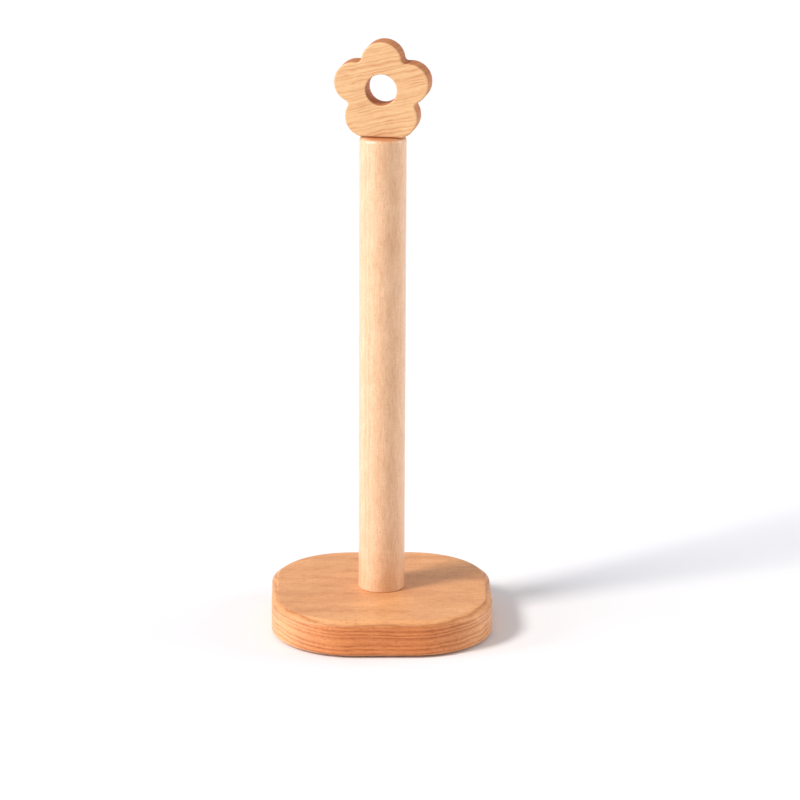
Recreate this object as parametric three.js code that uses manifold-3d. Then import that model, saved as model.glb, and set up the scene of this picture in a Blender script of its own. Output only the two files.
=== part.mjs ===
// A free-standing paper towel holder in beech. A rounded-square base on four pads carries a round post, held by one
// screw from beneath. A flower-shaped finial stands on the post and plugs into it with a dowel, so it turns freely and
// lifts out when a roll is slid on. Millimetres, +Z up, front towards -Y, origin on the table under the post.

import * as THREE from "three";
import { mergeVertices } from "three/addons/utils/BufferGeometryUtils.js";
import Module from "manifold-3d";

const wasm = await Module();
wasm.setup();

// The whole holder
const overallHeight = 350;

// Base: a slab with a wide flat chamfer round its top edge
const baseWidth = 130;
const baseDepth = 130;
const baseThickness = 20.5;
const baseCornerRadius = 47.5;
const baseChamferWidth = 3.8;
const baseChamferHeight = 2.8;
const baseLowerEase = 0.8;

// Pads, stuck into shallow recesses under the corners
const padDiameter = 16;
const padThickness = 2.5;
const padRecessDepth = 1;
const padEase = 0.4;
const padEdgeDistance = 15; // from the middle of a pad to the rounded corner of the base
const padRoom = 0.3;

// Post
const postDiameter = 27.2;
const postTopRound = 2;
const postFootChamfer = 0.8;

// Flower finial: five round petals, the lowest two joined by the flat foot that stands on the post. The petals'
// middles are given from the middle of the finger hole.
const petalRadius = 11.8;
const topPetalRise = 15.8;
const sidePetalRise = 3.8;
const sidePetalReach = 15.6;
const lowPetalDrop = 15.8;
const lowPetalReach = 9.2;
const footCut = 0.2; // how much is taken off the lowest petals to make the foot flat
const notchRadius = 2.4;
const flowerThickness = 14;
const flowerEase = 0.7;
const fingerHoleDiameter = 18;
const flowerTurn = THREE.MathUtils.degToRad(-11.5); // how far the finial is turned from facing the front
const finialGap = 0.3; // hairline between the flower's foot and the post

// Dowel between the flower and the post
const dowelDiameter = 8;
const dowelChamfer = 0.8;
const dowelInPost = 24;
const dowelClearance = 0.15; // radial, in both sockets
const dowelEndRoom = 1.5; // air past each end of the dowel
const socketWall = 3.5; // wood left between the dowel's socket and the finger hole

// Screw, washer and threaded insert that clamp the post to the base
const screwDiameter = 6;
const screwLength = 40;
const screwHeadDiameter = 11;
const screwHeadHeight = 3.6;
const screwHeadRound = 1.2;
const keyAcrossFlats = 4;
const keyDepth = 2.4;
const threadPitch = 1;
const threadDepth = 0.5;
const threadedLength = 26;
const washerDiameter = 18;
const washerThickness = 1.6;
const headRecess = 1.4; // how far the screw's head sits above the underside of the base
const insertWall = 1.8;
const insertLength = 18;
const insertRidge = 0.9;
const insertRidgePitch = 2.4;
const insertRecess = 0.6;
const screwClearance = 0.35; // radial, in the base, the washer and the insert
const partClearance = 0.3; // radial, round the washer and the insert

// Where the pieces meet, going up from the table
const baseBottom = padThickness - padRecessDepth;
const baseTop = baseBottom + baseThickness;
const flowerAbove = topPetalRise + petalRadius;
const flowerBelow = lowPetalDrop + petalRadius - footCut;
const flowerMiddle = overallHeight - flowerAbove;
const flowerFoot = flowerMiddle - flowerBelow;
const postTop = flowerFoot - finialGap;
const counterboreDepth = headRecess + screwHeadHeight + washerThickness;
const washerTop = baseBottom + counterboreDepth;
const screwSeat = washerTop - washerThickness;
const screwTip = screwSeat + screwLength;
const insertBottom = baseTop + insertRecess;
const insertRadius = screwDiameter / 2 + screwClearance + insertWall;
const socketTop = flowerMiddle - fingerHoleDiameter / 2 - socketWall;

const roundSegments = 64;
const smallSegments = 24;
const screwSegments = 16;

const beech = { base: 0xd9955f, post: 0xf0cda6, flower: 0xeab27c, dowel: 0xe2bd90 };

function woodMaterial(color) {
  return new THREE.MeshStandardMaterial({ color, roughness: 0.55, metalness: 0 });
}

function steelMaterial(color) {
  return new THREE.MeshStandardMaterial({ color, roughness: 0.35, metalness: 1 });
}

function rubberMaterial() {
  return new THREE.MeshStandardMaterial({ color: 0xcfcac2, roughness: 0.8, metalness: 0 });
}

// A closed three.js geometry as a manifold-3d solid, for cutting.
function solidFrom(geometry) {
  const bare = new THREE.BufferGeometry();
  bare.setAttribute("position", geometry.getAttribute("position"));
  bare.setIndex(geometry.getIndex());
  const merged = mergeVertices(bare, 1e-4);
  return new wasm.Manifold(
    new wasm.Mesh({
      numProp: 3,
      vertProperties: merged.getAttribute("position").array,
      triVerts: new Uint32Array(merged.getIndex().array),
    }),
  );
}

function geometryFrom(solid) {
  const mesh = solid.getMesh();
  const geometry = new THREE.BufferGeometry();
  geometry.setAttribute("position", new THREE.BufferAttribute(mesh.vertProperties, 3));
  geometry.setIndex(new THREE.BufferAttribute(mesh.triVerts, 1));
  geometry.computeVertexNormals();
  return geometry;
}

function namedMesh(name, geometry, material) {
  const mesh = new THREE.Mesh(geometry, material);
  mesh.name = name;
  return mesh;
}

// Turns a profile of [radius, height] points about the Z axis.
function turned(profile, segments) {
  const points = profile.map(([radius, height]) => new THREE.Vector2(radius, height));
  return new THREE.LatheGeometry(points, segments).rotateX(Math.PI / 2);
}

function verticalRod(radius, bottom, top, segments) {
  return new THREE.CylinderGeometry(radius, radius, top - bottom, segments)
    .rotateX(Math.PI / 2)
    .translate(0, 0, (top + bottom) / 2);
}

function roundedRectangle(width, depth, radius) {
  const x = width / 2 - radius;
  const y = depth / 2 - radius;
  const shape = new THREE.Shape();
  shape.absarc(x, y, radius, 0, Math.PI / 2);
  shape.absarc(-x, y, radius, Math.PI / 2, Math.PI);
  shape.absarc(-x, -y, radius, Math.PI, 1.5 * Math.PI);
  shape.absarc(x, -y, radius, 1.5 * Math.PI, 2 * Math.PI);
  shape.closePath();
  return shape;
}

// The base's outline between two heights, with both ends bevelled.
function bevelledSlab(bottom, top, bevelWidth, bevelHeight) {
  const inner = roundedRectangle(
    baseWidth - 2 * bevelWidth,
    baseDepth - 2 * bevelWidth,
    baseCornerRadius - bevelWidth,
  );
  return new THREE.ExtrudeGeometry(inner, {
    depth: top - bottom - 2 * bevelHeight,
    bevelThickness: bevelHeight,
    bevelSize: bevelWidth,
    bevelSegments: 1,
    curveSegments: 14,
  }).translate(0, 0, bottom + bevelHeight);
}

function padPlaces() {
  const reach = (baseCornerRadius - padEdgeDistance) * Math.SQRT1_2;
  const x = baseWidth / 2 - baseCornerRadius + reach;
  const y = baseDepth / 2 - baseCornerRadius + reach;
  return [
    { name: "front_left", x: -x, y: -y },
    { name: "front_right", x, y: -y },
    { name: "rear_left", x: -x, y },
    { name: "rear_right", x, y },
  ];
}

function basePlate() {
  const overrun = baseThickness;
  const chamfered = bevelledSlab(baseBottom - overrun, baseTop, baseChamferWidth, baseChamferHeight);
  const eased = bevelledSlab(baseBottom, baseTop + overrun, baseLowerEase, baseLowerEase);
  const counterboreRadius = washerDiameter / 2 + partClearance;
  const screwHoleRadius = screwDiameter / 2 + screwClearance;
  let plate = solidFrom(chamfered).intersect(solidFrom(eased));
  plate = plate.subtract(
    solidFrom(verticalRod(counterboreRadius, baseBottom - overrun, washerTop, smallSegments)),
  );
  plate = plate.subtract(
    solidFrom(verticalRod(screwHoleRadius, baseBottom, baseTop + overrun, screwSegments)),
  );
  for (const place of padPlaces()) {
    const recess = verticalRod(
      padDiameter / 2 + padRoom,
      baseBottom - overrun,
      baseBottom + padRecessDepth,
      smallSegments,
    ).translate(place.x, place.y, 0);
    plate = plate.subtract(solidFrom(recess));
  }
  return namedMesh("base_plate", geometryFrom(plate), woodMaterial(beech.base));
}

function footPads() {
  const radius = padDiameter / 2;
  const profile = [
    [0, 0],
    [radius - padEase, 0],
    [radius, padEase],
    [radius, padThickness],
    [0, padThickness],
  ];
  return padPlaces().map((place) => {
    const pad = namedMesh("foot_pad_" + place.name, turned(profile, smallSegments), rubberMaterial());
    pad.position.set(place.x, place.y, 0);
    return pad;
  });
}

// A quarter circle from the top of a round bar down to its side, as profile points.
function roundedShoulder(radius, top, round) {
  const steps = 4;
  const points = [];
  for (let i = 0; i <= steps; i++) {
    const angle = (Math.PI / 2) * (i / steps);
    points.push([radius - round + round * Math.cos(angle), top - round + round * Math.sin(angle)]);
  }
  return points;
}

function post() {
  const radius = postDiameter / 2;
  const footBoreRadius = insertRadius + insertRidge + partClearance;
  const footBoreTop = Math.max(screwTip, insertBottom + insertLength) + dowelEndRoom;
  const dowelBoreRadius = dowelDiameter / 2 + dowelClearance;
  const dowelBoreBottom = postTop - dowelInPost - dowelEndRoom;
  const profile = [
    [0, footBoreTop],
    [footBoreRadius, footBoreTop],
    [footBoreRadius, baseTop],
    [radius - postFootChamfer, baseTop],
    [radius, baseTop + postFootChamfer],
    ...roundedShoulder(radius, postTop, postTopRound),
    [dowelBoreRadius, postTop],
    [dowelBoreRadius, dowelBoreBottom],
    [0, dowelBoreBottom],
  ];
  return namedMesh("post", turned(profile, roundSegments), woodMaterial(beech.post));
}

// The flower's outline in its own plane: petal arcs joined by small fillets, and a straight foot between the two
// lowest petals. The middle of the finger hole is at 0, 0.
function flowerOutline() {
  const petals = [
    new THREE.Vector2(lowPetalReach, -lowPetalDrop),
    new THREE.Vector2(sidePetalReach, sidePetalRise),
    new THREE.Vector2(0, topPetalRise),
    new THREE.Vector2(-sidePetalReach, sidePetalRise),
    new THREE.Vector2(-lowPetalReach, -lowPetalDrop),
  ];
  const bearing = (from, to) => Math.atan2(to.y - from.y, to.x - from.x);
  // The middle of the fillet that touches two neighbouring petals from outside
  const notchBetween = (petal, next) => {
    const half = petal.distanceTo(next) / 2;
    const outwards = bearing(petal, next) - Math.PI / 2;
    const depth = Math.sqrt((petalRadius + notchRadius) ** 2 - half ** 2);
    const middle = petal.clone().lerp(next, 0.5);
    return middle.add(new THREE.Vector2(Math.cos(outwards), Math.sin(outwards)).multiplyScalar(depth));
  };
  const footAngle = Math.asin((petalRadius - footCut) / petalRadius);
  const shape = new THREE.Shape();
  let start = -footAngle;
  petals.forEach((petal, i) => {
    const next = petals[i + 1];
    if (!next) {
      shape.absarc(petal.x, petal.y, petalRadius, start, Math.PI + footAngle);
      return;
    }
    const notch = notchBetween(petal, next);
    shape.absarc(petal.x, petal.y, petalRadius, start, bearing(petal, notch));
    shape.absarc(notch.x, notch.y, notchRadius, bearing(notch, petal), bearing(notch, next), true);
    start = bearing(next, notch);
  });
  shape.closePath();
  return shape;
}

// The same outline moved in by the edge ease, so that the bevel brings it back to size.
function flowerSlab() {
  const outline = flowerOutline();
  return new THREE.ExtrudeGeometry(outline, {
    depth: flowerThickness - 2 * flowerEase,
    bevelThickness: flowerEase,
    bevelSize: flowerEase,
    bevelOffset: -flowerEase,
    bevelSegments: 1,
    curveSegments: 11,
  })
    .translate(0, 0, flowerEase - flowerThickness / 2)
    .rotateX(Math.PI / 2);
}

// Cuts a round hole through the flower with eased rims.
function fingerHoleCutter() {
  const radius = fingerHoleDiameter / 2;
  const half = flowerThickness / 2;
  const profile = [
    [0, -half - flowerEase],
    [radius + 2 * flowerEase, -half - flowerEase],
    [radius, -half + flowerEase],
    [radius, half - flowerEase],
    [radius + 2 * flowerEase, half + flowerEase],
    [0, half + flowerEase],
  ];
  return turned(profile, smallSegments * 2).rotateX(Math.PI / 2);
}

function flowerFinial() {
  const dowelBoreRadius = dowelDiameter / 2 + dowelClearance;
  const bore = verticalRod(
    dowelBoreRadius,
    -flowerBelow - flowerEase,
    socketTop - flowerMiddle,
    smallSegments,
  );
  const flower = solidFrom(flowerSlab())
    .subtract(solidFrom(fingerHoleCutter()))
    .subtract(solidFrom(bore));
  const mesh = namedMesh("flower_finial", geometryFrom(flower), woodMaterial(beech.flower));
  mesh.position.z = flowerMiddle;
  return mesh;
}

function finialDowel() {
  const radius = dowelDiameter / 2;
  const bottom = postTop - dowelInPost;
  const top = socketTop - dowelEndRoom;
  const profile = [
    [0, bottom],
    [radius - dowelChamfer, bottom],
    [radius, bottom + dowelChamfer],
    [radius, top - dowelChamfer],
    [radius - dowelChamfer, top],
    [0, top],
  ];
  return namedMesh("finial_dowel", turned(profile, smallSegments), woodMaterial(beech.dowel));
}

// A wall with ridges, as profile points going up from one height to another.
function ridgedWall(root, crest, pitch, bottom, top) {
  const points = [];
  const count = Math.floor((top - bottom) / pitch);
  for (let i = 0; i < count; i++) {
    points.push([root, bottom + i * pitch], [crest, bottom + (i + 0.5) * pitch]);
  }
  points.push([root, bottom + count * pitch]);
  return points;
}

function baseScrew() {
  const radius = screwDiameter / 2;
  const headRadius = screwHeadDiameter / 2;
  const headBottom = screwSeat - screwHeadHeight;
  const threadBottom = screwTip - threadedLength;
  const head = roundedShoulder(headRadius, screwHeadHeight, screwHeadRound)
    .map(([r, height]) => [r, screwSeat - height])
    .reverse();
  const profile = [
    [0, headBottom],
    ...head,
    [headRadius, screwSeat],
    [radius, screwSeat],
    [radius, threadBottom - threadDepth],
    ...ridgedWall(radius - threadDepth, radius, threadPitch, threadBottom, screwTip),
    [0, screwTip],
  ];
  const keyRadius = keyAcrossFlats / Math.sqrt(3);
  const key = verticalRod(keyRadius, headBottom - keyDepth, headBottom + keyDepth, 6);
  const screw = solidFrom(turned(profile, screwSegments)).subtract(solidFrom(key));
  return namedMesh("base_screw", geometryFrom(screw), steelMaterial(0xb9bbbd));
}

function screwWasher() {
  const bore = screwDiameter / 2 + screwClearance;
  const profile = [
    [bore, screwSeat],
    [washerDiameter / 2, screwSeat],
    [washerDiameter / 2, washerTop],
    [bore, washerTop],
    [bore, screwSeat],
  ];
  return namedMesh("screw_washer", turned(profile, smallSegments), steelMaterial(0xc4c5c6));
}

function threadedInsert() {
  const bore = screwDiameter / 2 + screwClearance;
  const top = insertBottom + insertLength;
  const lip = insertRidgePitch / 2;
  const profile = [
    [bore, insertBottom],
    [insertRadius, insertBottom],
    ...ridgedWall(
      insertRadius,
      insertRadius + insertRidge,
      insertRidgePitch,
      insertBottom + lip,
      top - lip,
    ),
    [insertRadius, top],
    [bore, top],
    [bore, insertBottom],
  ];
  return namedMesh("threaded_insert", turned(profile, smallSegments), steelMaterial(0xc2a25a));
}

const stand = new THREE.Group();
stand.add(basePlate(), ...footPads(), post(), baseScrew(), screwWasher(), threadedInsert());

const finial = new THREE.Group();
finial.rotation.z = flowerTurn;
finial.add(flowerFinial());

const towelHolder = new THREE.Group();
towelHolder.add(stand, finialDowel(), finial);

export default towelHolder;
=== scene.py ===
# Fine meshes, finishes, lights and camera for a beech paper towel holder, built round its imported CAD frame.
# Metres, +Z up, the front towards -Y. Sizes in the dictionaries are in millimetres, angles in degrees.
import math

import bmesh
import bpy
from mathutils import Matrix, Vector


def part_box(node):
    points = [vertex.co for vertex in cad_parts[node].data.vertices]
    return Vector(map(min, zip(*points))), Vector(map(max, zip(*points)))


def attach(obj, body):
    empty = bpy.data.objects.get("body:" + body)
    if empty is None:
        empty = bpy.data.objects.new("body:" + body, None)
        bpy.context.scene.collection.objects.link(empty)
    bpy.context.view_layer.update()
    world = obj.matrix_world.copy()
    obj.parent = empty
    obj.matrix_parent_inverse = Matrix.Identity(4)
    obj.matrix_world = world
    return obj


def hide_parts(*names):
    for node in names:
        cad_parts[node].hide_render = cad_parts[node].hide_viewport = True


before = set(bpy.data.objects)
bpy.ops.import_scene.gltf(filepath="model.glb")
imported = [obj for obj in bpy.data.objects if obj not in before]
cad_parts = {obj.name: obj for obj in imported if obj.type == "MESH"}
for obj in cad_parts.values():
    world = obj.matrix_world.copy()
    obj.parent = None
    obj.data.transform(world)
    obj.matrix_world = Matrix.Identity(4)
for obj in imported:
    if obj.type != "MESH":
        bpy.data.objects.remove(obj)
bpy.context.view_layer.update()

mm = 0.001
print("frame loaded:", ", ".join(sorted(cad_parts)))


def linearFromHex(code):
    shares = [int(code[i:i + 2], 16) / 255 for i in (0, 2, 4)]
    return [s / 12.92 if s <= 0.04045 else ((s + 0.055) / 1.055) ** 2.4 for s in shares] + [1.0]


def addNode(tree, kind, inputs=(), **settings):
    # One node with its settings; an input is a plain value or the socket that feeds it.
    node = tree.nodes.new(kind)
    for name, value in settings.items():
        setattr(node, name, value)
    for key, value in dict(inputs).items():
        if isinstance(value, bpy.types.NodeSocket):
            tree.links.new(value, node.inputs[key])
        else:
            node.inputs[key].default_value = value
    return node


def emptyMaterial(name):
    material = bpy.data.materials.new(name)
    material.use_nodes = True
    material.node_tree.nodes.clear()
    return material, material.node_tree


def closeMaterial(tree, shader):
    addNode(tree, "ShaderNodeOutputMaterial", {"Surface": shader.outputs["BSDF"]})


# Wood

def beechMaterial(name, wood):
    # Oiled beech as a solid: growth rings round a far-off pith, so a face cut along the grain shows long
    # lines, one cut across it shows arcs, and each piece looks sawn from one board. The pattern works in
    # millimetres, with the grain along X.
    material, tree = emptyMaterial(name)
    grain = Vector(wood["grain"]).normalized()
    rise = (Vector(wood["rise"]) - grain * grain.dot(Vector(wood["rise"]))).normalized()
    place = addNode(tree, "ShaderNodeTexCoord")
    turned = addNode(tree, "ShaderNodeMapping", {
        "Vector": place.outputs["Object"],
        "Rotation": Matrix((grain, rise.cross(grain), rise)).to_euler(),
        "Scale": (1000, 1000, 1000),
        "Location": wood["fromPith"],
    })
    board = turned.outputs["Vector"]

    # Slow wandering of the rings, long along the grain
    longwise = addNode(tree, "ShaderNodeVectorMath", {0: board, 1: (1 / wood["wanderRun"], 1, 1)},
                       operation="MULTIPLY")
    wander = addNode(tree, "ShaderNodeTexNoise", {
        "Vector": longwise.outputs[0], "Scale": 1 / wood["wanderSize"], "Detail": 3.0, "Roughness": 0.55,
    })
    centred = addNode(tree, "ShaderNodeVectorMath", {0: wander.outputs["Color"], 1: (0.5, 0.5, 0.5)},
                      operation="SUBTRACT")
    shift = addNode(tree, "ShaderNodeVectorMath",
                    {0: centred.outputs[0], 1: (0, wood["wander"], wood["wander"])}, operation="MULTIPLY")
    bent = addNode(tree, "ShaderNodeVectorMath", {0: board, 1: shift.outputs[0]}, operation="ADD")
    across = addNode(tree, "ShaderNodeVectorMath", {0: bent.outputs[0], 1: (0, 1, 1)}, operation="MULTIPLY")
    fromPith = addNode(tree, "ShaderNodeVectorMath", {0: across.outputs[0]}, operation="LENGTH")

    # Years of unequal growth, then one ring from pale early wood to the thin dark late wood
    years = addNode(tree, "ShaderNodeMath", {0: fromPith.outputs["Value"], 1: wood["ring"]},
                    operation="DIVIDE")
    growth = addNode(tree, "ShaderNodeTexNoise", {"W": years.outputs[0], "Scale": 0.45, "Detail": 1.0},
                     noise_dimensions="1D")
    uneven = addNode(tree, "ShaderNodeMath", {0: growth.outputs["Fac"], 1: 1.8, 2: years.outputs[0]},
                     operation="MULTIPLY_ADD")
    withinYear = addNode(tree, "ShaderNodeMath", {0: uneven.outputs[0]}, operation="FRACT")
    lateWood = addNode(tree, "ShaderNodeValToRGB", {"Fac": withinYear.outputs[0]})
    ramp = lateWood.color_ramp
    ramp.interpolation = "EASE"
    ramp.elements[0].color = (0.55, 0.55, 0.55, 1)
    ramp.elements[1].color = (0.55, 0.55, 0.55, 1)
    for position, shade in ((0.12, 0.1), (0.42, 0.0), (0.68, 0.5), (0.88, 1.0)):
        ramp.elements.new(position).color = (shade, shade, shade, 1)

    # Rings fade in and out along the board
    fading = addNode(tree, "ShaderNodeTexNoise", {
        "Vector": longwise.outputs[0], "Scale": 1 / 11, "Detail": 2.0, "Roughness": 0.6,
    })
    strength = addNode(tree, "ShaderNodeMapRange", {
        "Value": fading.outputs["Fac"], "From Min": 0.34, "From Max": 0.66, "To Min": wood["ringFaintest"],
        "To Max": 1.0,
    })
    alongRings = addNode(tree, "ShaderNodeVectorMath", {0: place.outputs["Normal"], 1: rise},
                         operation="DOT_PRODUCT")
    eitherSide = addNode(tree, "ShaderNodeMath", {0: alongRings.outputs["Value"]}, operation="ABSOLUTE")
    planed = addNode(tree, "ShaderNodeMapRange", {
        "Value": eitherSide.outputs[0], "From Min": 0.8, "From Max": 0.99, "To Min": 1.0,
        "To Max": wood["ringsOnFlat"],
    })
    cutSharp = addNode(tree, "ShaderNodeMath", {0: strength.outputs["Result"], 1: planed.outputs["Result"]},
                       operation="MULTIPLY")
    ringShade = addNode(tree, "ShaderNodeMath", {0: lateWood.outputs["Color"], 1: cutSharp.outputs[0]},
                        operation="MULTIPLY")

    # Fibre streaks, drawn about four times as coarse as real vessels so that they show
    fibreStretch = addNode(tree, "ShaderNodeVectorMath",
                           {0: bent.outputs[0], 1: (1 / wood["fibreRun"], 1, 1)}, operation="MULTIPLY")
    fibre = addNode(tree, "ShaderNodeTexNoise", {
        "Vector": fibreStretch.outputs[0], "Scale": 1 / wood["fibreWidth"], "Detail": 5.0, "Roughness": 0.66,
    })

    # Ray flecks: the short dark spindles that mark beech
    fleckStretch = addNode(tree, "ShaderNodeVectorMath", {
        0: bent.outputs[0],
        1: (1 / wood["fleckLength"], 1 / wood["fleckWidth"], 1 / wood["fleckWidth"]),
    }, operation="MULTIPLY")
    spindles = addNode(tree, "ShaderNodeTexVoronoi", {"Vector": fleckStretch.outputs[0], "Scale": 1.0},
                       voronoi_dimensions="3D", feature="F1")
    spindle = addNode(tree, "ShaderNodeMapRange", {
        "Value": spindles.outputs["Distance"], "From Min": 0.1, "From Max": 0.42,
        "To Min": 1.0, "To Max": 0.0,
    })
    chosen = addNode(tree, "ShaderNodeSeparateColor", {"Color": spindles.outputs["Color"]})
    present = addNode(tree, "ShaderNodeMapRange", {
        "Value": chosen.outputs[0], "From Min": 0.1, "From Max": 1.0,
        "To Min": 0.0, "To Max": wood["fleckShade"],
    })
    fleck = addNode(tree, "ShaderNodeMath", {0: spindle.outputs["Result"], 1: present.outputs["Result"]},
                    operation="MULTIPLY")

    # Broad mottling of the board's colour
    mottle = addNode(tree, "ShaderNodeTexNoise", {
        "Vector": longwise.outputs[0], "Scale": 1 / wood["mottleSize"], "Detail": 5.0, "Roughness": 0.68,
    })

    # All of it as one tone from pale to dark
    rings = addNode(tree, "ShaderNodeMath", {0: ringShade.outputs[0], 1: wood["ringShade"], 2: wood["tone"]},
                    operation="MULTIPLY_ADD")
    fibreCentred = addNode(tree, "ShaderNodeMath", {0: fibre.outputs["Fac"], 1: 0.5}, operation="SUBTRACT")
    withFibre = addNode(tree, "ShaderNodeMath",
                        {0: fibreCentred.outputs[0], 1: wood["fibreShade"], 2: rings.outputs[0]},
                        operation="MULTIPLY_ADD")
    mottleCentred = addNode(tree, "ShaderNodeMath", {0: mottle.outputs["Fac"], 1: 0.5}, operation="SUBTRACT")
    tone = addNode(tree, "ShaderNodeMath",
                   {0: mottleCentred.outputs[0], 1: wood["mottleShade"], 2: withFibre.outputs[0]},
                   operation="MULTIPLY_ADD", use_clamp=True)
    sawn = addNode(tree, "ShaderNodeMix", {
        "Factor": tone.outputs[0], "A": linearFromHex(wood["pale"]), "B": linearFromHex(wood["dark"]),
    }, data_type="RGBA")
    flecked = addNode(tree, "ShaderNodeMix", {
        "Factor": fleck.outputs[0], "A": sawn.outputs["Result"], "B": linearFromHex(wood["fleck"]),
    }, data_type="RGBA")

    # Sawn edges and end grain drink more oil than a planed face, so they are darker and redder; the same tint
    # also paints shade onto the flower's side walls and the base's front and back edges
    painted = flecked.outputs["Result"]
    gloss = wood["oil"]
    roughest = wood["roughness"] + 0.07
    for axis, start, end, tint in wood["soakedAndShaded"]:
        facing = addNode(tree, "ShaderNodeVectorMath", {0: place.outputs["Normal"], 1: axis},
                         operation="DOT_PRODUCT")
        either = addNode(tree, "ShaderNodeMath", {0: facing.outputs["Value"]}, operation="ABSOLUTE")
        share = addNode(tree, "ShaderNodeMapRange",
                        {"Value": either.outputs[0], "From Min": start, "From Max": end})
        painted = addNode(tree, "ShaderNodeMix", {
            "Factor": share.outputs["Result"], "A": painted, "B": linearFromHex(tint),
        }, data_type="RGBA", blend_type="MULTIPLY").outputs["Result"]
        if wood["oil"]:
            gloss = addNode(tree, "ShaderNodeMapRange", {
                "Value": share.outputs["Result"], "To Min": gloss, "To Max": 0.0,
            }).outputs["Result"]
        roughest = addNode(tree, "ShaderNodeMapRange", {
            "Value": share.outputs["Result"], "To Min": roughest, "To Max": 0.95,
        }).outputs["Result"]

    dull = addNode(tree, "ShaderNodeMapRange", {
        "Value": fibre.outputs["Fac"], "From Min": 0.3, "From Max": 0.7,
        "To Min": wood["roughness"] - 0.05, "To Max": roughest,
    })
    relief = addNode(tree, "ShaderNodeMath", {0: tone.outputs[0], 1: fleck.outputs[0]}, operation="ADD")
    bump = addNode(tree, "ShaderNodeBump", {"Height": relief.outputs[0], "Strength": wood["relief"],
                                            "Distance": 0.06 * mm}, invert=True)
    closeMaterial(tree, addNode(tree, "ShaderNodeBsdfPrincipled", {
        "Base Color": painted, "Roughness": dull.outputs["Result"], "IOR": 1.5,
        "Coat Weight": gloss, "Coat Roughness": 0.36, "Normal": bump.outputs["Normal"],
    }))
    return material


beech = {
    "grain": (1, 0, 0),     # direction of the fibres
    "rise": (0, 0, 1),      # direction in which the growth rings follow each other
    "fromPith": (0, 0, 0),
    "ring": 2.6,            # mean width of a year's growth
    "wander": 3.2,
    "wanderSize": 26,
    "wanderRun": 7,
    "fibreRun": 12,         # length over width of a streak
    "fibreWidth": 1.1,
    "fleckLength": 3.4,
    "fleckWidth": 0.75,
    "tone": 0.16,
    "ringShade": 0.34,
    "ringFaintest": 0.3,
    "ringsOnFlat": 0.6,     # how much of the rings' shade is left where a face runs along them
    "fibreShade": 0.75,
    "mottleSize": 6.5,
    "mottleShade": 0.5,
    "fleckShade": 0.4,
    "soakedAndShaded": (),           # axis, cosine where the tint starts, cosine where it is full, tint
    "pale": "f0c69c",
    "dark": "cf925c",
    "fleck": "b5764a",
    "oil": 0.5,             # weight of the buffed oil film
    "roughness": 0.44,
    "relief": 0.35,
}

boardBeech = beechMaterial("flatSawnBeechOiled", beech | {
    "grain": (1, 0.014, 0),
    "fromPith": (40, 25, 331),   # the pith runs far below the base, so its edge shows flat lines
    "ring": 2.8,
    "ringShade": 0.95,
    "ringFaintest": 0.55,
    "ringsOnFlat": 0.3,
    "wander": 4.2,
    "wanderRun": 2.4,
    "wanderSize": 20,
    "fleckLength": 2.6,
    "fleckWidth": 0.7,
    "fleckShade": 0.75,
    "mottleSize": 13,
    "mottleShade": 1.15,
    "fibreShade": 1.25,
    "fibreRun": 5,
    # front and back edges darker: oil soak together with painted shade
    "soakedAndShaded": [((0, 1, 0), 0.58, 1.0, "eccbae")],
    "tone": 0.17,
    "pale": "ecab72",
    "dark": "bc7642",
    "fleck": "ad6835",
    "oil": 0.15,
})
postBeech = beechMaterial("turnedBeechOiled", beech | {
    "grain": (0, 0, 1),
    "rise": (1, -0.3, 0),
    "fromPith": (0, 34, 22),
    "ring": 3.0,
    "ringShade": 0.42,
    "ringsOnFlat": 1.0,
    "wander": 3.0,
    "wanderSize": 9,
    "wanderRun": 2.2,
    "mottleSize": 6,
    "mottleShade": 0.95,
    "soakedAndShaded": [((0, 0, 1), 0.5, 1.0, "d8ae8e")],
    "fibreShade": 1.45,
    "fibreRun": 9,
    "fibreWidth": 0.8,
    "fleckShade": 0.8,
    "fleckLength": 2.0,
    "fleckWidth": 0.7,
    "relief": 0.2,
    "pale": "eec095",
    "dark": "cc905e",
    "fleck": "c28858",
    "oil": 1.0,
})
flowerBeech = beechMaterial("bandSawnBeechOiled", beech | {
    "grain": (0.951, -0.193, 0.242),     # along the turned face, rising to the right
    "rise": (-0.237, 0.048, 0.97),
    "fromPith": (25, 6, -230),
    "ring": 2.5,
    "ringShade": 0.85,
    "ringFaintest": 0.3,
    "ringsOnFlat": 1.0,
    "wander": 4.2,
    "wanderSize": 10,
    "wanderRun": 1.7,
    "fibreShade": 1.3,
    "fibreRun": 9,
    "fibreWidth": 0.9,
    # side walls and finger hole darker: oil-soaked sawn edges together with painted shade
    "soakedAndShaded": [((-0.199, -0.98, 0), 0.75, 0.2, "dfb8a0")],
    "pale": "e8ba86",
    "dark": "cb8b52",
    "fleck": "c28352",
    "fleckShade": 0.2,
    "oil": 0.3,
})
dowelBeech = beechMaterial("rolledBeechDowelBare", beech | {
    "grain": (0, 0, 1),
    "rise": (0, 1, 0),
    "fromPith": (0, 20, 60),
    "soakedAndShaded": [((0, 0, 1), 0.5, 1.0, "d8ae8e")],
    "pale": "ecc79d",
    "dark": "cf9c6c",
    "oil": 0.0,
    "roughness": 0.7,
})


# Metal and silicone

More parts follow.
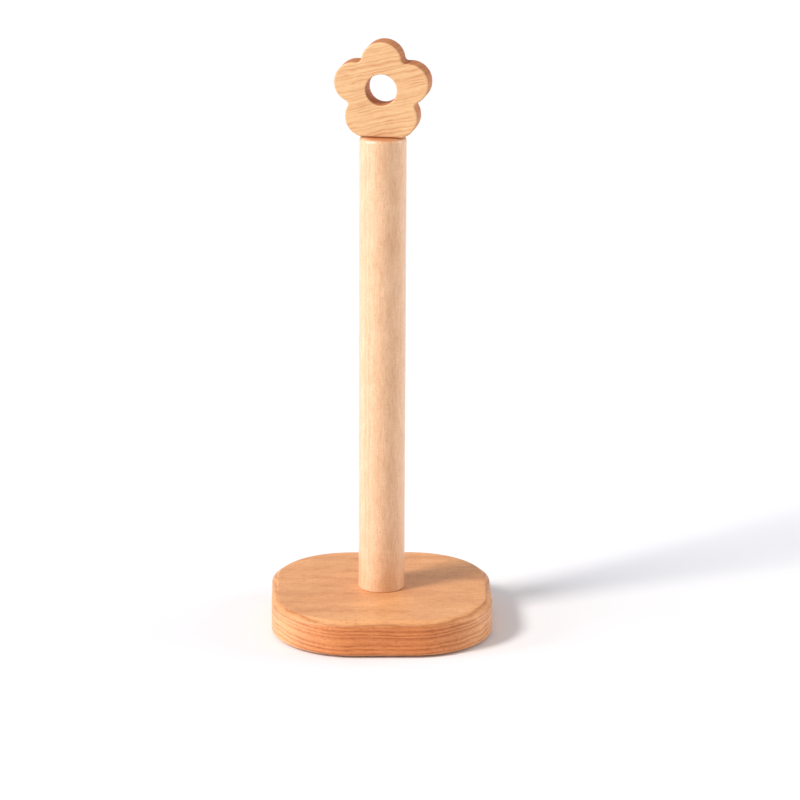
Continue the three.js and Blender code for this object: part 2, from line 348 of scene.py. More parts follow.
def platedMetal(name, tint, roughness, grain):
    # Turned metal: fine circular tool marks round Z and a slightly uneven plate give a soft, ringed gleam.
    material, tree = emptyMaterial(name)
    place = addNode(tree, "ShaderNodeTexCoord")
    inMm = addNode(tree, "ShaderNodeVectorMath", {0: place.outputs["Object"], 1: (1000, 1000, 1000)},
                   operation="MULTIPLY")
    flat = addNode(tree, "ShaderNodeVectorMath", {0: inMm.outputs[0], 1: (1, 1, 0)}, operation="MULTIPLY")
    radius = addNode(tree, "ShaderNodeVectorMath", {0: flat.outputs[0]}, operation="LENGTH")
    marks = addNode(tree, "ShaderNodeTexNoise",
                    {"W": radius.outputs["Value"], "Scale": 1 / grain, "Detail": 3.0}, noise_dimensions="1D")
    cloud = addNode(tree, "ShaderNodeTexNoise", {"Vector": inMm.outputs[0], "Scale": 0.4, "Detail": 3.0})
    shade = addNode(tree, "ShaderNodeMapRange", {
        "Value": cloud.outputs["Fac"], "From Min": 0.3, "From Max": 0.7, "To Min": 0.0, "To Max": 0.3,
    })
    colour = addNode(tree, "ShaderNodeMix", {
        "Factor": shade.outputs["Result"], "A": linearFromHex(tint), "B": linearFromHex("8b8780"),
    }, data_type="RGBA")
    gloss = addNode(tree, "ShaderNodeMapRange", {"Value": cloud.outputs["Fac"], "To Min": roughness - 0.06,
                                                 "To Max": roughness + 0.12})
    bump = addNode(tree, "ShaderNodeBump", {"Height": marks.outputs["Fac"], "Strength": 0.25,
                                            "Distance": 0.02 * mm})
    closeMaterial(tree, addNode(tree, "ShaderNodeBsdfPrincipled", {
        "Base Color": colour.outputs["Result"], "Metallic": 1.0, "Roughness": gloss.outputs["Result"],
        "Normal": bump.outputs["Normal"],
    }))
    return material


zincSteel = platedMetal("zincPlatedSteel", "c3c6c8", 0.3, 0.25)
turnedBrass = platedMetal("turnedBrass", "cfa75a", 0.28, 0.3)


def siliconeMaterial():
    # Moulded silicone: milky, dull and faintly pebbled, and it lets a little light into its edge.
    material, tree = emptyMaterial("mouldedSilicone")
    place = addNode(tree, "ShaderNodeTexCoord")
    pebble = addNode(tree, "ShaderNodeTexNoise", {"Vector": place.outputs["Object"], "Scale": 1 / (0.5 * mm),
                                                  "Detail": 2.0})
    dust = addNode(tree, "ShaderNodeTexNoise", {"Vector": place.outputs["Object"], "Scale": 1 / (6 * mm),
                                                "Detail": 4.0})
    colour = addNode(tree, "ShaderNodeMix", {
        "Factor": dust.outputs["Fac"], "A": linearFromHex("d8d4cb"), "B": linearFromHex("bdb8ad"),
    }, data_type="RGBA")
    bump = addNode(tree, "ShaderNodeBump", {"Height": pebble.outputs["Fac"], "Strength": 0.3,
                                            "Distance": 0.05 * mm})
    closeMaterial(tree, addNode(tree, "ShaderNodeBsdfPrincipled", {
        "Base Color": colour.outputs["Result"], "Roughness": 0.62, "IOR": 1.41, "Subsurface Weight": 0.2,
        "Subsurface Scale": 1.5 * mm, "Normal": bump.outputs["Normal"],
    }))
    return material


silicone = siliconeMaterial()
print("materials made")


# Mesh helpers

def pieceFromMesh(name, mesh, material, sharpDegrees=32):
    mesh.name = name
    mesh.materials.clear()
    mesh.materials.append(material)
    mesh.polygons.foreach_set("use_smooth", [True] * len(mesh.polygons))
    mesh.set_sharp_from_angle(angle=math.radians(sharpDegrees))
    piece = bpy.data.objects.new(name, mesh)
    bpy.context.scene.collection.objects.link(piece)
    return piece


def meshFromBmesh(shape):
    bmesh.ops.remove_doubles(shape, verts=shape.verts, dist=1e-7)
    bmesh.ops.recalc_face_normals(shape, faces=shape.faces)
    mesh = bpy.data.meshes.new("working")
    shape.to_mesh(mesh)
    shape.free()
    return mesh


def turnedMesh(profile, segments):
    # Turns [radius, height] points, in metres, about Z. The profile ends on the axis or where it began.
    shape = bmesh.new()
    rings = []
    for radius, height in profile:
        if radius < 1e-9:
            rings.append([shape.verts.new((0, 0, height))])
            continue
        angles = [2 * math.pi * i / segments for i in range(segments)]
        rings.append([shape.verts.new((radius * math.cos(a), radius * math.sin(a), height)) for a in angles])
    for lower, upper in zip(rings, rings[1:]):
        for i in range(segments):
            j = (i + 1) % segments
            corners = [lower[i % len(lower)], lower[j % len(lower)],
                       upper[j % len(upper)], upper[i % len(upper)]]
            unique = list(dict.fromkeys(corners))
            if len(unique) > 2:
                shape.faces.new(unique)
    return meshFromBmesh(shape)


def easedCorner(before, corner, after, radius, steps=4):
    # Points of the arc that rounds a profile's corner. Points are pairs.
    corner = Vector(corner)
    toBefore = (Vector(before) - corner).normalized()
    toAfter = (Vector(after) - corner).normalized()
    half = toBefore.angle(toAfter) / 2
    start = corner + toBefore * (radius / math.tan(half))
    middle = corner + (toBefore + toAfter).normalized() * (radius / math.sin(half))
    spoke = start - middle
    sweep = math.pi - 2 * half
    turn = math.copysign(1, toBefore.y * toAfter.x - toBefore.x * toAfter.y)
    points = []
    for i in range(steps + 1):
        a = turn * sweep * i / steps
        points.append((middle.x + spoke.x * math.cos(a) - spoke.y * math.sin(a),
                       middle.y + spoke.x * math.sin(a) + spoke.y * math.cos(a)))
    return points


def easedProfile(points, radii, steps=4):
    # A profile with its corners rounded, and a point just before and after each arc to keep flats flat.
    eased = [points[0]]
    for before, corner, after, radius in zip(points, points[1:], points[2:], radii[1:-1]):
        if not radius:
            eased.append(corner)
            continue
        arc = easedCorner(before, corner, after, radius, steps)
        guards = []
        for end, towards in ((arc[0], before), (arc[-1], after)):
            pull = Vector(towards) - Vector(end)
            guards.append(tuple(Vector(end) + pull.normalized() * 0.4 * min(radius, pull.length)))
        eased += [guards[0], *arc, guards[1]]
    return eased + [points[-1]]


def cutFrom(mesh, cutters):
    # Takes the cutters' shapes out of the mesh.
    body = bpy.data.objects.new("cutting", mesh)
    bpy.context.scene.collection.objects.link(body)
    helpers = []
    for cutter in cutters:
        helper = bpy.data.objects.new("cutter", cutter)
        bpy.context.scene.collection.objects.link(helper)
        helpers.append(helper)
        modifier = body.modifiers.new("cut", "BOOLEAN")
        modifier.operation = "DIFFERENCE"
        modifier.solver = "EXACT"
        modifier.object = helper
    evaluated = body.evaluated_get(bpy.context.evaluated_depsgraph_get())
    result = bpy.data.meshes.new_from_object(evaluated)
    for thing in (body, *helpers):
        bpy.data.objects.remove(thing)
    return result


def rodMesh(radius, bottom, top, segments=96, at=(0, 0)):
    mesh = turnedMesh([(0, bottom), (radius, bottom), (radius, top), (0, top)], segments)
    mesh.transform(Matrix.Translation((at[0], at[1], 0)))
    return mesh


def nodeTree(name, inputs):
    # A geometry tree with named inputs, each with its kind of socket.
    tree = bpy.data.node_groups.new(name, "GeometryNodeTree")
    for label, kind in inputs.items():
        tree.interface.new_socket(name=label, in_out="INPUT", socket_type=kind)
    tree.interface.new_socket(name="Geometry", in_out="OUTPUT", socket_type="NodeSocketGeometry")
    return tree, addNode(tree, "NodeGroupInput").outputs


def closeTree(tree, geometry, material):
    real = addNode(tree, "GeometryNodeRealizeInstances", {"Geometry": geometry})
    painted = addNode(tree, "GeometryNodeSetMaterial", {"Geometry": real.outputs[0], "Material": material})
    addNode(tree, "NodeGroupOutput", {0: painted.outputs[0]})


def meshFromTree(tree, values, start=None):
    # Runs a tree on a start mesh, or on nothing, and returns the plain mesh it makes.
    holder = bpy.data.objects.new("growing", start or bpy.data.meshes.new("empty"))
    bpy.context.scene.collection.objects.link(holder)
    modifier = holder.modifiers.new(tree.name, "NODES")
    modifier.node_group = tree
    for item in tree.interface.items_tree:
        if item.in_out == "INPUT" and item.name in values:
            modifier[item.identifier] = values[item.name]
    evaluated = holder.evaluated_get(bpy.context.evaluated_depsgraph_get())
    mesh = bpy.data.meshes.new_from_object(evaluated)
    bpy.data.objects.remove(holder)
    return mesh


# Base

baseLow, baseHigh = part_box("base_plate")
base = {
    "cornerRadius": 47.5,
    "chamferWidth": 3.8,
    "chamferHeight": 2.8,
    "lowerEase": 0.8,
    "edgeRound": 0.7,
    "guard": 1.5,           # flat strip kept inside each rounded edge
    "cornerSteps": 40,
    "edgeSteps": 5,
    "cutThrough": 5,        # how far a cutter stands out of the board
    "screwHole": 6.7,
    "counterbore": 18.6,
    "counterboreDepth": 6.6,
    "padRecess": 16.6,
    "padRecessDepth": 1.0,
}


def roundedSlabTree():
    # A slab whose outline is a square with round corners and whose edge is one profile swept round it.
    tree, given = nodeTree("roundedSlab", {
        "Width": "NodeSocketFloat", "Depth": "NodeSocketFloat", "Top": "NodeSocketFloat",
        "Bottom": "NodeSocketFloat", "Corner Radius": "NodeSocketFloat", "Chamfer Width": "NodeSocketFloat",
        "Chamfer Height": "NodeSocketFloat", "Lower Ease": "NodeSocketFloat",
        "Edge Round": "NodeSocketFloat", "Guard": "NodeSocketFloat", "Corner Steps": "NodeSocketInt",
        "Edge Steps": "NodeSocketInt", "Material": "NodeSocketMaterial",
    })

    def outline(inset):
        # The square outline with its round corners, drawn in by inset on every side.
        twice = addNode(tree, "ShaderNodeMath", {0: inset, 1: 2.0}, operation="MULTIPLY")
        width, depth = (
            addNode(tree, "ShaderNodeMath", {0: given[side], 1: twice.outputs[0]}, operation="SUBTRACT")
            for side in ("Width", "Depth")
        )
        radius = addNode(tree, "ShaderNodeMath", {0: given["Corner Radius"], 1: inset}, operation="SUBTRACT")
        square = addNode(tree, "GeometryNodeCurvePrimitiveQuadrilateral",
                         {"Width": width.outputs[0], "Height": depth.outputs[0]})
        return addNode(tree, "GeometryNodeFilletCurve", {
            "Curve": square.outputs[0], "Radius": radius.outputs[0], "Count": given["Corner Steps"],
        }, mode="POLY").outputs[0]

    topInset, lowInset = (
        addNode(tree, "ShaderNodeMath", {0: given[width], 1: given["Guard"]}, operation="ADD")
        for width in ("Chamfer Width", "Lower Ease")
    )
    chamferFoot = addNode(tree, "ShaderNodeMath", {0: given["Top"], 1: given["Chamfer Height"]},
                          operation="SUBTRACT")
    easeTop = addNode(tree, "ShaderNodeMath", {0: given["Bottom"], 1: given["Lower Ease"]}, operation="ADD")
    section = [     # (inset, height) from the top face, over the edge, to the underside
        (topInset.outputs[0], given["Top"]),
        (given["Chamfer Width"], given["Top"]),
        (0.0, chamferFoot.outputs[0]),
        (0.0, easeTop.outputs[0]),
        (given["Lower Ease"], given["Bottom"]),
        (lowInset.outputs[0], given["Bottom"]),
    ]
    line = addNode(tree, "GeometryNodeMeshLine", {"Count": len(section)})
    lineCurve = addNode(tree, "GeometryNodeMeshToCurve", {"Mesh": line.outputs[0]})
    index = addNode(tree, "GeometryNodeInputIndex")
    pick = addNode(tree, "GeometryNodeIndexSwitch", data_type="VECTOR")
    while len(pick.index_switch_items) < len(section):
        pick.index_switch_items.new()
    tree.links.new(index.outputs[0], pick.inputs["Index"])
    for i, (inset, height) in enumerate(section):
        point = addNode(tree, "ShaderNodeCombineXYZ", {"X": inset, "Y": height})
        tree.links.new(point.outputs[0], pick.inputs[i + 1])
    # The sweep turns a section's X outwards and its Y down
    inSweep = addNode(tree, "ShaderNodeVectorMath", {0: pick.outputs[0], 1: (-1, -1, 1)},
                      operation="MULTIPLY")
    placed = addNode(tree, "GeometryNodeSetPosition",
                     {"Geometry": lineCurve.outputs[0], "Position": inSweep.outputs[0]})
    profile = addNode(tree, "GeometryNodeFilletCurve", {
        "Curve": placed.outputs[0], "Radius": given["Edge Round"], "Count": given["Edge Steps"],
        "Limit Radius": True,
    }, mode="POLY")
    edge = addNode(tree, "GeometryNodeCurveToMesh",
                   {"Curve": outline(0.0), "Profile Curve": profile.outputs[0]})
    parts = [edge.outputs[0]]
    for inset, side in ((topInset, "Top"), (lowInset, "Bottom")):
        cap = addNode(tree, "GeometryNodeFillCurve", {"Curve": outline(inset.outputs[0])}, mode="NGONS")
        lift = addNode(tree, "ShaderNodeCombineXYZ", {"Z": given[side]})
        lifted = addNode(tree, "GeometryNodeTransform",
                         {"Geometry": cap.outputs[0], "Translation": lift.outputs[0]})
        if side == "Bottom":
            lifted = addNode(tree, "GeometryNodeFlipFaces", {"Mesh": lifted.outputs[0]})
        parts.append(lifted.outputs[0])
    joined = addNode(tree, "GeometryNodeJoinGeometry")
    for part in parts:
        tree.links.new(part, joined.inputs[0])
    merged = addNode(tree, "GeometryNodeMergeByDistance",
                     {"Geometry": joined.outputs[0], "Distance": 0.08 * mm})
    closeTree(tree, merged.outputs[0], given["Material"])
    return tree


slab = meshFromTree(roundedSlabTree(), {
    "Width": baseHigh.x - baseLow.x,
    "Depth": baseHigh.y - baseLow.y,
    "Top": baseHigh.z,
    "Bottom": baseLow.z,
    "Corner Radius": base["cornerRadius"] * mm,
    "Chamfer Width": base["chamferWidth"] * mm,
    "Chamfer Height": base["chamferHeight"] * mm,
    "Lower Ease": base["lowerEase"] * mm,
    "Edge Round": base["edgeRound"] * mm,
    "Guard": base["guard"] * mm,
    "Corner Steps": base["cornerSteps"],
    "Edge Steps": base["edgeSteps"],
    "Material": boardBeech,
})
postLow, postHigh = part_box("post")
padLow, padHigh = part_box("foot_pad_front_left")
padMiddle = (padLow + padHigh) / 2
padPlaces = [(x, y) for x in (padMiddle.x, -padMiddle.x) for y in (padMiddle.y, -padMiddle.y)]

belowBase = baseLow.z - base["cutThrough"] * mm
aboveBase = baseHigh.z + base["cutThrough"] * mm
baseCuts = [
    rodMesh(base["screwHole"] / 2 * mm, belowBase, aboveBase),
    rodMesh(base["counterbore"] / 2 * mm, belowBase, baseLow.z + base["counterboreDepth"] * mm),
]
for place in padPlaces:
    baseCuts.append(rodMesh(base["padRecess"] / 2 * mm, belowBase,
                            baseLow.z + base["padRecessDepth"] * mm, at=place))
basePiece = pieceFromMesh("base_board", cutFrom(slab, baseCuts), boardBeech)
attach(basePiece, "stand")
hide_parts("base_plate")
print("base made")


# Pads

pad = {
    "lowerEase": 0.9,
    "upperEase": 0.3,
    "dishWidth": 9.0,       # shallow dish moulded in the underside, which grips like a sucker
    "dishDepth": 0.35,
    "rimFlat": 0.2,         # start of the flat round the dish
    "segments": 72,
}


def padTree():
    # The same moulded pad at the four corners of a rectangle.
    tree, given = nodeTree("padsAtCorners", {
        "Spacing X": "NodeSocketFloat", "Spacing Y": "NodeSocketFloat", "Pad": "NodeSocketObject",
        "Material": "NodeSocketMaterial",
    })
    corners = addNode(tree, "GeometryNodeCurvePrimitiveQuadrilateral",
                      {"Width": given["Spacing X"], "Height": given["Spacing Y"]})
    shape = addNode(tree, "GeometryNodeObjectInfo", {"Object": given["Pad"]})
    placed = addNode(tree, "GeometryNodeInstanceOnPoints", {"Points": corners.outputs[0],
                                                            "Instance": shape.outputs["Geometry"]})
    closeTree(tree, placed.outputs[0], given["Material"])
    return tree


padRadius = (padHigh.x - padLow.x) / 2
dish = pad["dishWidth"] / 2 * mm
dishDepth = pad["dishDepth"] * mm
padProfile = [(0, padLow.z + dishDepth), (dish * 0.7, padLow.z + dishDepth * 0.6), (dish, padLow.z)]
padProfile += easedProfile(
    [(dish + pad["rimFlat"] * mm, padLow.z), (padRadius, padLow.z), (padRadius, padHigh.z), (0, padHigh.z)],
    [0, pad["lowerEase"] * mm, pad["upperEase"] * mm, 0],
)
padShape = pieceFromMesh("padShape", turnedMesh(padProfile, pad["segments"]), silicone)
padMesh = meshFromTree(padTree(), {
    "Spacing X": 2 * abs(padMiddle.x),
    "Spacing Y": 2 * abs(padMiddle.y),
    "Pad": padShape,
    "Material": silicone,
})
bpy.data.objects.remove(padShape)
padPiece = pieceFromMesh("silicone_pads", padMesh, silicone)
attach(padPiece, "stand")
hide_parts("foot_pad_front_left", "foot_pad_front_right",
            "foot_pad_rear_left", "foot_pad_rear_right")
print("pads made")


# Post

dowelLow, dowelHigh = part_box("finial_dowel")
screwLow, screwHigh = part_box("base_screw")
post = {
    "topRound": 2.8,
    "footRound": 0.6,
    "boreMouth": 0.5,       # countersink round the dowel's bore
    "dowelRoom": 0.15,
    "endRoom": 1.5,
    "footBore": 14.5,
    "segments": 192,
}
postRadius = postHigh.x
dowelRadius = (dowelHigh.x - dowelLow.x) / 2
boreRadius = dowelRadius + post["dowelRoom"] * mm
footBore = post["footBore"] / 2 * mm
mouth = post["boreMouth"] * mm
outer = easedProfile(
    [(footBore, postLow.z), (postRadius, postLow.z), (postRadius, postHigh.z),
     (boreRadius + mouth, postHigh.z)],
    [0, post["footRound"] * mm, post["topRound"] * mm, 0], steps=8,
)
footBoreEnd = screwHigh.z + post["endRoom"] * mm
dowelBoreEnd = dowelLow.z - post["endRoom"] * mm
postProfile = [(0, footBoreEnd), (footBore, footBoreEnd), *outer,
               (boreRadius, postHigh.z - mouth), (boreRadius, dowelBoreEnd), (0, dowelBoreEnd)]
postPiece = pieceFromMesh("post_bar", turnedMesh(postProfile, post["segments"]), postBeech)
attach(postPiece, "stand")
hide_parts("post")
print("post made")


# Finial dowel

dowel = {
    "chamfer": 0.8,
    "flutes": 14,
    "fluteDepth": 0.32,
    "segments": 168,
}


def flutedTree():
    # Presses straight flutes into the side of a rod that stands on Z, fading out at its two chamfered ends.
    tree, given = nodeTree("flutedRod", {
        "Geometry": "NodeSocketGeometry", "Flutes": "NodeSocketFloat", "Flute Depth": "NodeSocketFloat",
        "Rod Radius": "NodeSocketFloat", "Material": "NodeSocketMaterial",
    })
    position = addNode(tree, "GeometryNodeInputPosition")
    at = addNode(tree, "ShaderNodeSeparateXYZ", {"Vector": position.outputs[0]})
    angle = addNode(tree, "ShaderNodeMath", {0: at.outputs["Y"], 1: at.outputs["X"]}, operation="ARCTAN2")
    turns = addNode(tree, "ShaderNodeMath", {0: angle.outputs[0], 1: given["Flutes"]}, operation="MULTIPLY")
    wave = addNode(tree, "ShaderNodeMath", {0: turns.outputs[0]}, operation="COSINE")
    groove = addNode(tree, "ShaderNodeMapRange",
                     {"Value": wave.outputs[0], "From Min": -0.2, "From Max": 1.0},
                     interpolation_type="SMOOTHSTEP")
    flat = addNode(tree, "ShaderNodeCombineXYZ", {"X": at.outputs["X"], "Y": at.outputs["Y"]})
    radius = addNode(tree, "ShaderNodeVectorMath", {0: flat.outputs[0]}, operation="LENGTH")
    rim = addNode(tree, "ShaderNodeMath", {0: radius.outputs["Value"], 1: given["Rod Radius"]},
                  operation="DIVIDE")
    onSide = addNode(tree, "ShaderNodeMapRange",
                     {"Value": rim.outputs[0], "From Min": 0.8, "From Max": 0.99})
    depth = addNode(tree, "ShaderNodeMath", {0: groove.outputs["Result"], 1: onSide.outputs["Result"]},
                    operation="MULTIPLY")
    inwards = addNode(tree, "ShaderNodeMath", {0: depth.outputs[0], 1: given["Flute Depth"]},
                      operation="MULTIPLY")
    outDirection = addNode(tree, "ShaderNodeVectorMath", {0: flat.outputs[0]}, operation="NORMALIZE")
    step = addNode(tree, "ShaderNodeVectorMath", {0: outDirection.outputs[0], "Scale": inwards.outputs[0]},
                   operation="SCALE")
    push = addNode(tree, "ShaderNodeVectorMath", {0: step.outputs[0], 1: (-1, -1, -1)}, operation="MULTIPLY")
    pressed = addNode(tree, "GeometryNodeSetPosition",
                      {"Geometry": given["Geometry"], "Offset": push.outputs[0]})
    closeTree(tree, pressed.outputs[0], given["Material"])
    return tree


chamfer = dowel["chamfer"] * mm
plainDowel = turnedMesh([
    (0, dowelLow.z), (dowelRadius - chamfer, dowelLow.z), (dowelRadius, dowelLow.z + chamfer),
    (dowelRadius, dowelHigh.z - chamfer), (dowelRadius - chamfer, dowelHigh.z), (0, dowelHigh.z),
], dowel["segments"])
dowelMesh = meshFromTree(flutedTree(), {
    "Flutes": float(dowel["flutes"]),
    "Flute Depth": dowel["fluteDepth"] * mm,
    "Rod Radius": dowelRadius,
    "Material": dowelBeech,
}, start=plainDowel)
dowelPiece = pieceFromMesh("fluted_dowel", dowelMesh, dowelBeech)
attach(dowelPiece, "finial_pin")
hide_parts("finial_dowel")
print("dowel made")


# Flower finial

flowerLow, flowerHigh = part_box("flower_finial")
flower = {
    "petalRadius": 11.8,
    # the petals' middles, from the finger hole's middle
    "petals": [(9.2, -15.8), (15.6, 3.8), (0, 15.8), (-15.6, 3.8), (-9.2, -15.8)],
    "footCut": 0.2,
    "notchRadius": 2.4,
    "thickness": 14,
    "edgeRound": 0.8,
    "fingerHole": 18,
    "holeRound": 0.7,
    "turn": -11.5,          # degrees about Z
    "arcStep": 3.0,         # degrees of arc between points of the outline
    "footSteps": 8,
    "edgeSteps": 4,
    "faceMargin": 0.4,      # flat strip kept beside each rounded edge
    "faceRings": 7,
    "wallRings": 5,
    "socketOverlap": 3,     # how far the socket's cutter stands out below the foot
}


def flowerOutline():
    # Anticlockwise outline and its outward normals: petal arcs, small hollow arcs in the notches, flat foot.
    petals = [Vector(p) for p in flower["petals"]]
    radius, notch = flower["petalRadius"], flower["notchRadius"]
    points, normals = [], []

    def arc(middle, r, start, end, side):
        steps = max(3, math.ceil(abs(end - start) / math.radians(flower["arcStep"])))
        for i in range(steps):
            a = start + (end - start) * i / steps
            spoke = Vector((math.cos(a), math.sin(a)))
            points.append(middle + spoke * r)
            normals.append(spoke * side)

    def bearing(start, end):
        return math.atan2(end.y - start.y, end.x - start.x)

    fullTurn = 2 * math.pi
    footAngle = math.asin((radius - flower["footCut"]) / radius)
    start = -footAngle
    for petal, after in zip(petals, petals[1:]):
        outwards = bearing(petal, after) - math.pi / 2
        reach = math.sqrt((radius + notch) ** 2 - ((after - petal).length / 2) ** 2)
        hollow = (petal + after) / 2 + Vector((math.cos(outwards), math.sin(outwards))) * reach
        arc(petal, radius, start, start + (bearing(petal, hollow) - start) % fullTurn, 1)
        into = bearing(hollow, petal)
        arc(hollow, notch, into, into - (into - bearing(hollow, after)) % fullTurn, -1)
        start = bearing(after, hollow)
    arc(petals[-1], radius, start, start + (math.pi + footAngle - start) % fullTurn, 1)
    lastX, foot = points[-1].x, points[0].y
    for i in range(flower["footSteps"]):
        share = (i + 1) / (flower["footSteps"] + 1)
        points.append(Vector((lastX + (points[0].x - lastX) * share, foot)))
        normals.append(Vector((0, -1)))
    return points, normals


def flowerMesh():
    points, normals = flowerOutline()
    half, edge = flower["thickness"] / 2, flower["edgeRound"]
    holeRadius, holeEdge = flower["fingerHole"] / 2, flower["holeRound"]
    quarter = [math.pi / 2 * i / flower["edgeSteps"] for i in range(flower["edgeSteps"] + 1)]
    spokes = [p.normalized() for p in points]
    loops = []      # each loop is one point per outline point: (x, depth, z)

    def rimLoop(inset, depth):
        loops.append([(p.x - n.x * inset, depth, p.y - n.y * inset) for p, n in zip(points, normals)])

    def holeLoop(radius, depth):
        loops.append([(s.x * radius, depth, s.y * radius) for s in spokes])

    def faceLoops(depth, outwards):
        inner, outer = holeRadius + holeEdge + flower["faceMargin"], edge + flower["faceMargin"]
        shares = [i / (flower["faceRings"] + 1) for i in range(flower["faceRings"] + 2)]
        for share in shares if outwards else reversed(shares):
            loops.append([
                (s.x * inner + (p.x - n.x * outer - s.x * inner) * share, depth,
                 s.y * inner + (p.y - n.y * outer - s.y * inner) * share)
                for s, p, n in zip(spokes, points, normals)
            ])

    for a in quarter:                                   # out of the hole, over its front rim
        holeLoop(holeRadius + holeEdge * (1 - math.cos(a)), -half + holeEdge * (1 - math.sin(a)))
    faceLoops(-half, True)
    for a in quarter:                                   # over the front edge of the petals
        rimLoop(edge * (1 - math.sin(a)), -half + edge * (1 - math.cos(a)))
    for i in range(1, flower["wallRings"]):
        rimLoop(0, -half + edge + (2 * half - 2 * edge) * i / flower["wallRings"])
    for a in reversed(quarter):
        rimLoop(edge * (1 - math.sin(a)), half - edge * (1 - math.cos(a)))
    faceLoops(half, False)
    for a in reversed(quarter):
        holeLoop(holeRadius + holeEdge * (1 - math.cos(a)), half - holeEdge * (1 - math.sin(a)))
    for i in range(1, flower["wallRings"]):
        holeLoop(holeRadius, half - holeEdge - (2 * half - 2 * holeEdge) * i / flower["wallRings"])

    shape = bmesh.new()
    rows = [[shape.verts.new(Vector(p) * mm) for p in loop] for loop in loops]
    for row, following in zip(rows, rows[1:] + rows[:1]):
        for i in range(len(row)):
            j = (i + 1) % len(row)
            shape.faces.new((row[i], row[j], following[j], following[i]))
    mesh = meshFromBmesh(shape)
    middle = flowerHigh.z - (flower["petals"][2][1] + flower["petalRadius"]) * mm
    turn = Matrix.Rotation(math.radians(flower["turn"]), 4, "Z")
    mesh.transform(Matrix.Translation((0, 0, middle)) @ turn)
    return mesh


socket = rodMesh(boreRadius, flowerLow.z - flower["socketOverlap"] * mm, dowelHigh.z + post["endRoom"] * mm)
flowerPiece = pieceFromMesh("flower_knob", cutFrom(flowerMesh(), [socket]), flowerBeech)
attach(flowerPiece, "finial")
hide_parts("flower_finial")
print("flower made")


# Screw, washer and insert

washerLow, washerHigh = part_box("screw_washer")
screw = {
    "headHeight": 3.6,
    "headRound": 1.2,
    "seatRound": 0.2,
    "keyAcrossFlats": 4.0,
    "keyDepth": 2.4,
    "diameter": 6.0,
    "threadLength": 26,
    "threadPitch": 1.0,
    "threadDepth": 0.5,
    "segments": 64,
}
washer = {
    "bore": 6.7,
    "edgeRound": 0.25,
    "seamIn": 1.0,          # the profile starts and ends on the underside, this far out from the bore
    "segments": 96,
}


def screwMesh():
    head, radius = screwHigh.x, screw["diameter"] / 2 * mm
    seat = screwLow.z + screw["headHeight"] * mm
    profile = easedProfile([(0, screwLow.z), (head, screwLow.z), (head, seat), (radius, seat)],
                           [0, screw["headRound"] * mm, screw["seatRound"] * mm, 0], steps=8)
    start = screwHigh.z - screw["threadLength"] * mm
    depth, pitch = screw["threadDepth"] * mm, screw["threadPitch"] * mm
    profile.append((radius, start - depth))
    for i in range(int(screw["threadLength"] / screw["threadPitch"])):
        profile.append((radius - depth, start + i * pitch))
        profile.append((radius, start + (i + 0.5) * pitch))
    profile += [(radius - depth, screwHigh.z), (0, screwHigh.z)]
    keyDepth = screw["keyDepth"] * mm
    key = rodMesh(screw["keyAcrossFlats"] / math.sqrt(3) * mm, screwLow.z - keyDepth, screwLow.z + keyDepth,
                  segments=6)
    return cutFrom(turnedMesh(profile, screw["segments"]), [key])


screwPiece = pieceFromMesh("socket_screw", screwMesh(), zincSteel)
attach(screwPiece, "stand")
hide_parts("base_screw")

bore, rim, edge = washer["bore"] / 2 * mm, washerHigh.x, washer["edgeRound"] * mm
seam = (bore + washer["seamIn"] * mm, washerLow.z)
washerProfile = easedProfile(
    [seam, (rim, washerLow.z), (rim, washerHigh.z), (bore, washerHigh.z), (bore, washerLow.z), seam],
    [0, edge, edge, edge, edge, 0],
)
washerPiece = pieceFromMesh("plain_washer", turnedMesh(washerProfile, washer["segments"]), zincSteel)
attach(washerPiece, "stand")
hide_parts("screw_washer")

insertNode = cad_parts["threaded_insert"]
insertNode.data.materials.clear()
insertNode.data.materials.append(turnedBrass)
print("fasteners made")


# Floor, lights and camera

def floorMaterial():
    # Matt laminated worktop in near white, with a very faint unevenness.
    material, tree = emptyMaterial("paleMattLaminate")
    place = addNode(tree, "ShaderNodeTexCoord")
    cloud = addNode(tree, "ShaderNodeTexNoise",
                    {"Vector": place.outputs["Object"], "Scale": 3.0, "Detail": 2.0})
    colour = addNode(tree, "ShaderNodeMix", {
        "Factor": cloud.outputs["Fac"], "A": linearFromHex("f6f6f7"), "B": linearFromHex("f4f4f5"),
    }, data_type="RGBA")
    closeMaterial(tree, addNode(tree, "ShaderNodeBsdfPrincipled", {
        "Base Color": colour.outputs["Result"], "Roughness": 0.85, "Specular IOR Level": 0.2,
    }))
    return material


worktop = {
    "halfWidth": 6000,
    "belowPads": 0.1,       # so that the two never share a plane
}
floorShape = bmesh.new()
bmesh.ops.create_grid(floorShape, x_segments=1, y_segments=1, size=worktop["halfWidth"] * mm)
floor = pieceFromMesh("worktop", meshFromBmesh(floorShape), floorMaterial())
if floor.data.polygons[0].normal.z < 0:
    floor.data.flip_normals()
floor.location.z = -worktop["belowPads"] * mm

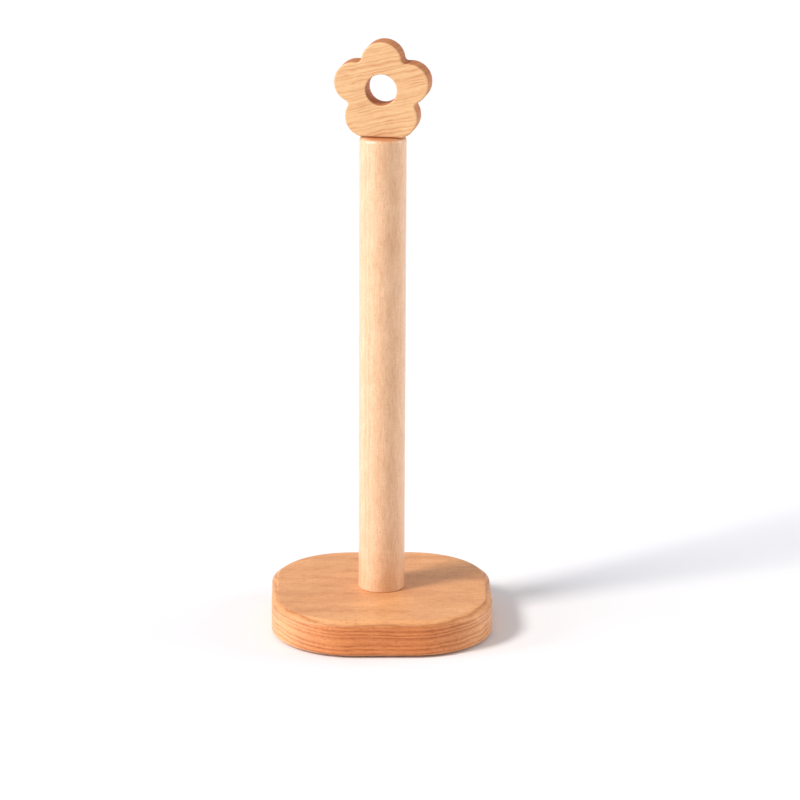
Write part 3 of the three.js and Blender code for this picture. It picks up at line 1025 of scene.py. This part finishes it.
studio = {
    "skyStrength": 0.49,
    "sky": "f9faff",
    "lamps": {
        # azimuth from the front and elevation in degrees, width in degrees as seen from the holder,
        # strength, colour
        "keySoftbox": (-61, 40, 15, 2.5, "fffaf5"),
        "leftWindow": (-80, 13, 28, 1.7, "dce8ff"),
        "rightReflector": (98, 16, 34, 1.05, "fffaf6"),
    },
}


def addLamp(name, azimuth, elevation, width, strength, colour):
    # A softbox far enough away to light the whole floor evenly.
    lamp = bpy.data.lights.new(name, "SUN")
    lamp.angle = math.radians(width)
    lamp.energy = strength
    lamp.color = linearFromHex(colour)[:3]
    holder = bpy.data.objects.new(name, lamp)
    a, e = math.radians(azimuth), math.radians(elevation)
    away = Vector((math.sin(a) * math.cos(e), -math.cos(a) * math.cos(e), math.sin(e)))
    holder.location = away * 2
    holder.rotation_euler = (-away).to_track_quat("-Z", "Y").to_euler()
    bpy.context.scene.collection.objects.link(holder)


for lampName, settings in studio["lamps"].items():
    addLamp(lampName, *settings)

world = bpy.data.worlds.new("softStudio")
world.use_nodes = True
world.node_tree.nodes["Background"].inputs["Color"].default_value = linearFromHex(studio["sky"])
world.node_tree.nodes["Background"].inputs["Strength"].default_value = studio["skyStrength"]
bpy.context.scene.world = world
bpy.context.scene.view_settings.view_transform = "Standard"

view = {
    "distance": 2.0,        # metres
    "height": 0.724,
    "azimuth": -1.15,       # degrees; the camera stands a little to the left of the front
    "pitch": 16.36,
    "aside": 0.3,           # how far the camera is turned right of the holder
    "roll": 0.29,
    "lens": 160.3,
}
cameraData = bpy.data.cameras.new("camera")
cameraData.lens = view["lens"]
cameraData.sensor_width = 36
cameraData.clip_end = 50
camera = bpy.data.objects.new("camera", cameraData)
standpoint = math.radians(view["azimuth"])
camera.location = (math.sin(standpoint) * view["distance"], -math.cos(standpoint) * view["distance"],
                   view["height"])
heading = Matrix.Rotation(standpoint - math.radians(view["aside"]), 3, "Z")
tilt = Matrix.Rotation(math.pi / 2 - math.radians(view["pitch"]), 3, "X")
rolled = Matrix.Rotation(math.radians(view["roll"]), 3, "Z")
camera.rotation_euler = (heading @ tilt @ rolled).to_euler()
bpy.context.scene.collection.objects.link(camera)
bpy.context.scene.camera = camera
print("lights and camera placed")
